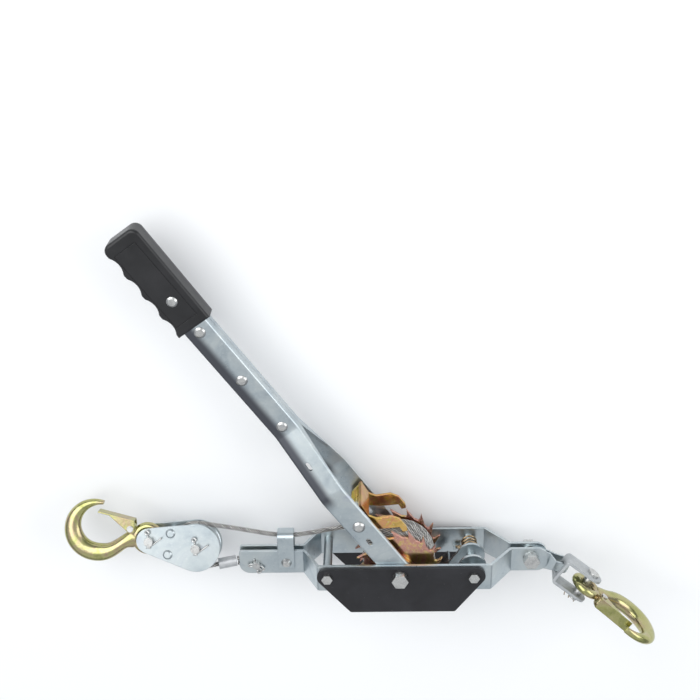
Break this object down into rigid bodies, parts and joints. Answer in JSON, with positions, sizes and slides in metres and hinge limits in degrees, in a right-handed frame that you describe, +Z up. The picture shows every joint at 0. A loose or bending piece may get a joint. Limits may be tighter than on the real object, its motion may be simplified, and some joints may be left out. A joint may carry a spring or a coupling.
{
  "type": "come along winch",
  "caption": "Hand cable puller: ratchet drum in a steel frame, lever handle, wire rope, pulley block and two latched hooks.",
  "frame": {"origin": "on the table under the middle of the whole outline, the winch lying on its side", "axes": "+X along the frame to the anchor hook's end, +Y up the frame's height to the handle's side, +Z up from the table along the drum's axle to the front"},
  "size_m": [0.6158, 0.4504, 0.1125],
  "materials": {
    "zinc": "bright zinc plate, slightly blue",
    "yellow_zinc": "yellow passivated zinc, slightly iridescent",
    "black_plate": "black powder coat with a fine speckle",
    "grip_black": "black moulded plastic",
    "rope": "galvanised steel wire rope",
    "aluminium": "pressed aluminium ferrule",
    "spring": "dull spring wire",
    "grey_bracket": "matte grey plated bracket"
  },
  "bodies": {
    "frame": {"front_strap": "zinc", "back_strap": "zinc", "front_side_plate": "black_plate", "back_side_plate": "black_plate", "axle_bolt": "zinc", "axle_nut": "zinc", "axle_washers": "zinc", "left_spacer_tube": "zinc", "right_spacer_tube": "zinc", "end_bolts": "zinc", "end_nuts": "zinc", "neck_bolt": "zinc", "neck_nut": "zinc", "neck_washers": "zinc", "pawl_spring": "spring", "rope_clip": "zinc", "clip_bolt": "zinc", "anchor_pin": "zinc", "anchor_cotter": "zinc", "rope_eye": "rope", "rope_ferrule": "aluminium", "rope_lower_fall": "rope", "rope_upper_fall": "rope"},
    "handle": {"front_handle_half": "zinc", "back_handle_half": "zinc", "handle_rivets": "zinc", "drive_pin": "zinc", "grip": "grip_black", "grip_rivet": "zinc"},
    "drive_pawl": {"drive_pawl": "yellow_zinc"},
    "holding_pawl": {"holding_pawl": "zinc"},
    "drum": {"front_ratchet_wheel": "yellow_zinc", "back_ratchet_wheel": "yellow_zinc", "drum_core": "yellow_zinc", "wound_rope": "rope"},
    "block": {"front_block_plate": "zinc", "back_block_plate": "zinc", "block_spacers": "zinc", "sheave_pin": "zinc", "hook_pin": "zinc", "block_cotters": "zinc", "rope_on_sheave": "rope"},
    "sheave": {"sheave": "zinc"},
    "load_hook": {"load_hook": "yellow_zinc", "load_latch_rivet": "zinc"},
    "load_latch": {"load_latch": "yellow_zinc"},
    "link": {"link_strap": "zinc"},
    "bracket": {"anchor_bracket": "grey_bracket", "bracket_pin": "zinc", "bracket_cotter": "zinc"},
    "anchor_hook": {"anchor_hook": "yellow_zinc", "anchor_latch_rivet": "zinc"},
    "anchor_latch": {"anchor_latch": "yellow_zinc"}
  },
  "joints": [
    {"name": "handle_swing", "type": "hinge", "parent": "frame", "child": "handle", "pos_m": [0.04156, -0.14401, 0.048], "axis": [0, 0, 1], "range_deg": [-84.7, 21.2]},
    {"name": "drive_pawl_pivot", "type": "hinge", "parent": "handle", "child": "drive_pawl", "pos_m": [0.00063, -0.08599, 0.048], "axis": [0, 0, 1], "range_deg": [-9, 12], "stiffness_Nm_per_rad": 0.05, "springref_deg": -9},
    {"name": "holding_pawl_pivot", "type": "hinge", "parent": "frame", "child": "holding_pawl", "pos_m": [0.11706, -0.14401, 0.048], "axis": [0, 0, 1], "range_deg": [-11, 10], "stiffness_Nm_per_rad": 0.05, "springref_deg": -11, "deforming": ["pawl_spring"]},
    {"name": "block_travel", "type": "slide", "parent": "frame", "child": "block", "axis": [-1, 0, 0], "range_m": [0, 1.2], "deforming": ["rope_lower_fall", "rope_upper_fall"]},
    {"name": "drum_turn", "type": "hinge", "parent": "frame", "child": "drum", "pos_m": [0.04156, -0.14401, 0.048], "axis": [0, 0, 1], "continuous": true},
    {"name": "sheave_turn", "type": "hinge", "parent": "block", "child": "sheave", "pos_m": [-0.16924, -0.12801, 0.048], "axis": [0, 0.342, 0.9397], "continuous": true},
    {"name": "load_hook_swing", "type": "hinge", "parent": "block", "child": "load_hook", "pos_m": [-0.2176, -0.12057, 0.04529], "axis": [0, 0.342, 0.9397], "range_deg": [-50, 50]},
    {"name": "load_latch_pivot", "type": "hinge", "parent": "load_hook", "child": "load_latch", "pos_m": [-0.23793, -0.10935, 0.04121], "axis": [0, 0.342, 0.9397], "range_deg": [0, 35], "stiffness_Nm_per_rad": 0.02, "springref_deg": -8.59},
    {"name": "link_swing", "type": "hinge", "parent": "frame", "child": "link", "pos_m": [0.17906, -0.14401, 0.048], "axis": [0, 0, 1], "range_deg": [-40, 55]},
    {"name": "bracket_tilt", "type": "hinge", "parent": "link", "child": "bracket", "pos_m": [0.21148, -0.15581, 0.048], "axis": [0.586, 0.8084, -0.0559], "range_deg": [-10, 20]},
    {"name": "anchor_hook_swing", "type": "hinge", "parent": "bracket", "child": "anchor_hook", "pos_m": [0.23444, -0.1714, 0.06328], "axis": [0.586, 0.8084, -0.0559], "range_deg": [-60, 60]},
    {"name": "anchor_latch_pivot", "type": "hinge", "parent": "anchor_hook", "child": "anchor_latch", "pos_m": [0.25021, -0.18186, 0.07735], "axis": [-0.586, -0.8084, 0.0559], "range_deg": [-35, 0], "stiffness_Nm_per_rad": 0.02, "springref_deg": 8.59}
  ],
  "couplings": [
    {"joint": "drum_turn", "follows": "block_travel", "rad_per_m": 56.338},
    {"joint": "sheave_turn", "follows": "block_travel", "rad_per_m": 41.667}
  ]
}
